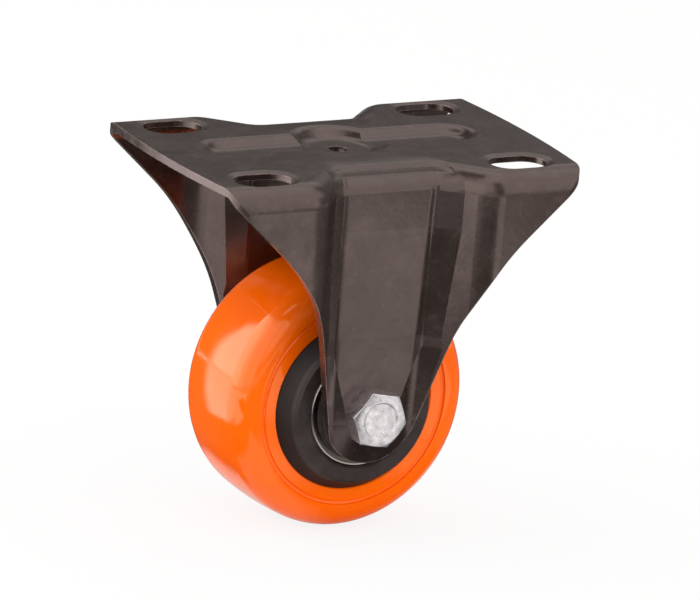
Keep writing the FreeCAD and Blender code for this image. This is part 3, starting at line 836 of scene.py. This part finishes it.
class Surroundings(FinishTree):
    """What the caster's gloss mirrors: glowing and dark panels which light nothing, painted reflections of soft boxes,
    walls and floor, and painted shadow on the floor.
    """

    def __init__(self, name: str, level: float) -> None:
        """Start a dark material that glows.

        Args:
            name: The material's name.
            level: Its brightness where no panel lies.
        """
        super().__init__(name)
        self.level: Socket | float = level
        self.surface.inputs["Base Color"].default_value = (0.0, 0.0, 0.0, 1.0)
        self.surface.inputs["Specular IOR Level"].default_value = 0.0
        self.surface.inputs["Emission Color"].default_value = (1.0, 0.95, 0.92, 1.0)

    def turned(self, place: tuple[float, float], turn: float) -> bpy.types.Node:
        """Object coordinates from a place, turned about Z, as separate outputs."""
        coordinates = self.node("ShaderNodeTexCoord")
        moved = self.node("ShaderNodeVectorMath")
        moved.operation = "SUBTRACT"
        moved.inputs[1].default_value = (*place, 0.0)
        self.link(coordinates.outputs["Object"], moved.inputs[0])
        mapped = self.node("ShaderNodeMapping")
        mapped.inputs["Rotation"].default_value = (0.0, 0.0, -turn)
        self.link(moved.outputs[0], mapped.inputs["Vector"])
        parts = self.node("ShaderNodeSeparateXYZ")
        self.link(mapped.outputs[0], parts.inputs[0])
        return parts

    def lay(self, panel: Panel, across: Socket, up: Socket, unit: float) -> None:
        """Lay a panel over what is there.

        Args:
            panel: The panel.
            across: The coordinate across it, 0 at its middle.
            up: The coordinate up it, 0 at its middle.
            unit: The size of the panel's unit in these coordinates.
        """
        masks = []
        for value, half in ((across, panel.width), (up, panel.height)):
            away = self.math("ABSOLUTE", value, 0.0)
            masks.append(self.span(away, (half + panel.soft) * unit, (half - panel.soft) * unit))
        share = self.math("MULTIPLY", *masks)
        gap = self.math("SUBTRACT", panel.glow, self.level)
        self.level = self.math("ADD", self.math("MULTIPLY", share, gap), self.level)

    def hang(self, panel: Panel) -> None:
        """Lay a panel on the dome by its azimuth and elevation about the dome's middle."""
        parts = self.turned((0.0, 0.0), math.radians(panel.across))
        azimuth = self.math("ARCTAN2", parts.outputs["Y"], parts.outputs["X"])
        square_x = self.math("MULTIPLY", parts.outputs["X"], parts.outputs["X"])
        square_y = self.math("MULTIPLY", parts.outputs["Y"], parts.outputs["Y"])
        level = self.math("SQRT", self.math("ADD", square_x, square_y), 0.0)
        above = self.math("ADD", parts.outputs["Z"], AXLE_DROP)
        elevation = self.math("ARCTAN2", above, level)
        lifted = self.math("SUBTRACT", elevation, math.radians(panel.up))
        self.lay(panel, azimuth, lifted, math.radians(1.0))

    def spread(self, panel: Panel) -> None:
        """Lay a panel on the floor by its place in x and y."""
        parts = self.turned((panel.across * MM, panel.up * MM), math.radians(panel.turn))
        self.lay(panel, parts.outputs["X"], parts.outputs["Y"], MM)

    def on(self, flag: bpy.types.Object) -> None:
        """Put the panels on a piece of the set and let only glossy pieces see it."""
        self.link(self.level, self.surface.inputs["Emission Strength"])
        flag.data.materials.append(self.material)
        flag.visible_camera = False
        flag.visible_diffuse = False
        flag.visible_shadow = False
        flag.visible_transmission = False
        flag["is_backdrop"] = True


# Panels on the dome, by azimuth and elevation in degrees: the bright ones are painted reflections of soft boxes, the
# dim ones dark walls; none of them lights anything.
DOME = (
    Panel(0, 90, 180, 38, 1.2, 4),
    Panel(155, 72, 45, 20, 0.1, 5),
    Panel(194, 10, 44, 40, 1.35, 4),
    Panel(149, 9, 49, 38, 2.2, 8),
    Panel(139.5, 9, 38, 38, 3.3, 8),
    Panel(90, -20, 33, 70, 0.1, 1.5),
    Panel(251, 34, 11, 26, 1.2, 5),
    Panel(279, 22, 13, 30, 0.12, 4),
    Panel(308, 18, 14, 38, 1.25, 4),
    Panel(11, 8, 49, 38, 0.2, 6),
    Panel(335, 42, 24, 16, 1.0, 6),
    Panel(55, 38, 24, 12, 0.8, 4),
)

# Panels on the sheet, in millimetres: the bright ones are painted reflections of a lit floor and of the left soft box
# below the horizon; the dark ones are painted shadow, most of them the caster's own shadow round it and in front of
# it; none of them lights anything.
FLOOR = (
    Panel(340, 0, 300, 600, 0.2, 8),
    Panel(71, -125, 37, 65, 1.0, 6),
    Panel(76, -230, 42, 85, 1.5, 12),
    Panel(-43, 58, 22, 62, 0.05, 2),
    Panel(-400, 600, 300, 450, 2.3, 10),
    Panel(-234, 124, 260, 200, 2.3, 3, 59.4),
    Panel(-365, -80, 300, 65, 1.9, 6),
    Panel(-54, 344, 290, 150, 0.1, 3, 121),
    Panel(-50, -30, 15, 34, 0.05, 2),
    Panel(-56, -95, 54, 38, 0.05, 4),
    Panel(-132, -80, 38, 26, 0.05, 5),
    Panel(-3, -98, 42, 34, 0.1, 4),
    Panel(45, -100, 26, 40, 0.95, 5),
    Panel(20, -24, 25, 16, 0.05, 4),
    Panel(-115, -274, 140, 110, 0.5, 14, 221),
    Panel(-48, -184, 76, 66, 0.03, 5),
    Panel(5, -240, 50, 95, 0.06, 6),
)


@dataclass
class Studio:
    """Pale floor, a dome and a sheet of painted reflections and painted shadow, soft lamps and the camera of the
    photograph.
    """

    floor_z: float
    floor_side: float = 6.0
    floor_colour: Colour = (0.82, 0.815, 0.81)
    white_share: float = 0.86
    dome_radius: float = 1.5
    sheet_side: float = 1.6
    sheet_lift: float = 0.5 * MM
    fill_colour: Colour = (1.0, 0.985, 0.965)
    fill: float = 0.85
    azimuth: float = -30.34
    elevation: float = 16.36
    roll: float = 5.0
    pixels_per_mm: float = 5.37
    image_size: tuple[float, float] = (700.0, 600.0)
    origin_pixel: tuple[float, float] = (345.3, 142.8)
    sensor_width: float = 36.0
    distance: float = 2.5

    def build(self) -> None:
        """Make floor, surroundings, world, lamps and camera."""
        self.lay_floor()
        self.raise_dome()
        self.lay_sheet()
        self.fill_world()
        self.hang_lamps()
        self.set_camera()

    def white_to(self, tree: bpy.types.NodeTree, share: float) -> Socket:
        """A share of white for rays from the camera and for those in metal and glass.

        Args:
            tree: The node tree that the share is for.
            share: The value for such a ray. Other rays get 0.

        Returns:
            The value output.
        """
        path = tree.nodes.new("ShaderNodeLightPath")
        total = path.outputs[Seen.CAMERA.value]
        for kind in (Seen.GLOSSY, Seen.TRANSMISSION):
            either = tree.nodes.new("ShaderNodeMath")
            either.operation = "MAXIMUM"
            tree.links.new(total, either.inputs[0])
            tree.links.new(path.outputs[kind.value], either.inputs[1])
            total = either.outputs[0]
        scaled = tree.nodes.new("ShaderNodeMath")
        scaled.operation = "MULTIPLY"
        scaled.inputs[1].default_value = share
        tree.links.new(total, scaled.inputs[0])
        return scaled.outputs[0]

    def matte(self, name: str, colour: Colour) -> bpy.types.Material:
        """A plain material without gloss for the set."""
        material = bpy.data.materials.new(name)
        material.use_nodes = True
        surface = material.node_tree.nodes["Principled BSDF"]
        surface.inputs["Base Color"].default_value = (*colour, 1.0)
        surface.inputs["Roughness"].default_value = 1.0
        surface.inputs["Specular IOR Level"].default_value = 0.0
        return material

    def lay_floor(self) -> None:
        """A pale floor under the wheel that reads as white and keeps the caster's shadow."""
        bpy.ops.object.select_all(action="DESELECT")
        bpy.ops.mesh.primitive_plane_add(size=self.floor_side, location=(0.0, 0.0, self.floor_z))
        bpy.ops.object.transform_apply()
        floor = bpy.context.object
        floor.name = "floor"
        material = self.matte("floor", self.floor_colour)
        tree = material.node_tree
        glow = tree.nodes.new("ShaderNodeEmission")
        mix = tree.nodes.new("ShaderNodeMixShader")
        tree.links.new(self.white_to(tree, self.white_share), mix.inputs[0])
        tree.links.new(tree.nodes["Principled BSDF"].outputs[0], mix.inputs[1])
        tree.links.new(glow.outputs[0], mix.inputs[2])
        tree.links.new(mix.outputs[0], tree.nodes["Material Output"].inputs["Surface"])
        floor.data.materials.append(material)
        floor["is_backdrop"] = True

    def raise_dome(self) -> None:
        """A dome round the set with the panels that gloss mirrors above the floor: painted reflections of soft boxes
        and of dim walls.
        """
        bpy.ops.object.select_all(action="DESELECT")
        bpy.ops.mesh.primitive_uv_sphere_add(segments=64, ring_count=32, radius=self.dome_radius,
                                             location=(0.0, 0.0, -AXLE_DROP))
        bpy.ops.object.transform_apply()
        bpy.context.object.name = "dome"
        surroundings = Surroundings("dome", 0.22)
        for panel in DOME:
            surroundings.hang(panel)
        surroundings.on(bpy.context.object)

    def lay_sheet(self) -> None:
        """A sheet just above the floor with the panels that gloss mirrors below: painted reflections of the lit floor
        and painted shadow of the caster.
        """
        bpy.ops.object.select_all(action="DESELECT")
        bpy.ops.mesh.primitive_plane_add(size=self.sheet_side, location=(0.0, 0.0, self.floor_z + self.sheet_lift))
        bpy.ops.object.transform_apply()
        bpy.context.object.name = "sheet"
        surroundings = Surroundings("sheet", 0.75)
        for panel in FLOOR:
            surroundings.spread(panel)
        surroundings.on(bpy.context.object)

    def fill_world(self) -> None:
        """White behind the object and above the walls, and an even soft fill."""
        world = bpy.data.worlds.new("room")
        bpy.context.scene.world = world
        world.use_nodes = True
        tree = world.node_tree
        room = tree.nodes["Background"]
        room.inputs["Color"].default_value = (*self.fill_colour, 1.0)
        room.inputs["Strength"].default_value = self.fill
        white = tree.nodes.new("ShaderNodeBackground")
        white.inputs["Color"].default_value = (1.0, 1.0, 1.0, 1.0)
        mix = tree.nodes.new("ShaderNodeMixShader")
        tree.links.new(self.white_to(tree, 1.0), mix.inputs[0])
        tree.links.new(room.outputs[0], mix.inputs[1])
        tree.links.new(white.outputs[0], mix.inputs[2])
        tree.links.new(mix.outputs[0], tree.nodes["World Output"].inputs["Surface"])

    def lamp(self, name: str, place: Vector, towards: Vector,
             size: tuple[float, float], radiance: float) -> None:
        """A rectangular soft box.

        Args:
            name: The lamp's name.
            place: Its middle.
            towards: The way that it shines.
            size: Width and height in metres.
            radiance: Its brightness where a white surface in full light is 1.
        """
        data = bpy.data.lights.new(name, "AREA")
        data.shape = "RECTANGLE"
        data.size, data.size_y = size
        data.energy = radiance * math.pi * size[0] * size[1]
        lamp = bpy.data.objects.new(name, data)
        bpy.context.scene.collection.objects.link(lamp)
        lamp.location = place
        lamp.rotation_euler = (-towards).to_track_quat("Z", "Y").to_euler()
        lamp.visible_camera = False
        lamp.visible_glossy = False

    def box_at(self, name: str, azimuth: float, elevation: float, distance: float,
               size: tuple[float, float], radiance: float) -> None:
        """A soft box that faces the wheel, hung by its azimuth, elevation and distance."""
        turn, lift = math.radians(azimuth), math.radians(elevation)
        way = Vector((math.cos(turn) * math.cos(lift), math.sin(turn) * math.cos(lift), math.sin(lift)))
        self.lamp(name, Vector((0.0, 0.0, -AXLE_DROP)) + way * distance, -way, size, radiance)

    def hang_lamps(self) -> None:
        """A big soft box at the left, one overhead and one in front."""
        self.box_at("left box", 149.0, 22.0, 0.6, (0.72, 0.5), 1.9)
        self.box_at("top box", 60.0, 84.0, 0.75, (1.0, 1.0), 0.65)
        self.box_at("front box", 285.0, 12.0, 0.8, (0.8, 0.5), 2.0)

    def set_camera(self) -> None:
        """The camera of the photograph: far away, turned, raised and rolled as there."""
        turn, lift, roll = map(math.radians, (self.azimuth, self.elevation, self.roll))
        right = Vector((math.cos(turn), math.sin(turn), 0.0))
        back = Vector((math.sin(turn) * math.cos(lift), -math.cos(turn) * math.cos(lift), math.sin(lift)))
        up = back.cross(right)
        rolled_right = right * math.cos(roll) + up * math.sin(roll)
        rolled_up = back.cross(rolled_right)
        pixel = MM / self.pixels_per_mm
        across, down = (size / 2 - place for size, place in zip(self.image_size, self.origin_pixel))
        aim = rolled_right * across * pixel - rolled_up * down * pixel
        data = bpy.data.cameras.new("camera")
        data.sensor_width = self.sensor_width
        data.lens = self.sensor_width * self.distance / (self.image_size[0] * pixel)
        camera = bpy.data.objects.new("camera", data)
        bpy.context.scene.collection.objects.link(camera)
        axes = Matrix((rolled_right, rolled_up, back)).transposed().to_4x4()
        camera.matrix_world = Matrix.Translation(aim + back * self.distance) @ axes
        bpy.context.scene.camera = camera


def main() -> None:
    """Build the caster's looks piece by piece."""
    logging.basicConfig(level=logging.INFO, format="%(name)s: %(message)s")
    cad_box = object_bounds()
    finishes = Finishes.mixed()
    dress_node("fork", finishes.paint)
    dress_node("tread", finishes.orange)
    dress_node("hub", finishes.hub)
    AxleBolt().build(finishes.zinc)
    LockNut().build(finishes.zinc)
    for name in ("nut_washer", "axle_sleeve", "spacer_near", "spacer_far"):
        dress_node(name, finishes.zinc)
    dress_node("nut_insert", finishes.nylon)
    for side in NEAR_FAR:
        for name in ("outer_ring_", "inner_ring_", "balls_"):
            dress_node(name + side, finishes.steel)
        for name in ("outer_seal_", "inner_seal_"):
            dress_node(name + side, finishes.rubber)
        dress_node("cage_" + side, finishes.nylon)
    Studio(floor_z=cad_box[0].z).build()
    bpy.context.scene.view_settings.view_transform = "Standard"


if __name__ == "__main__":
    main()
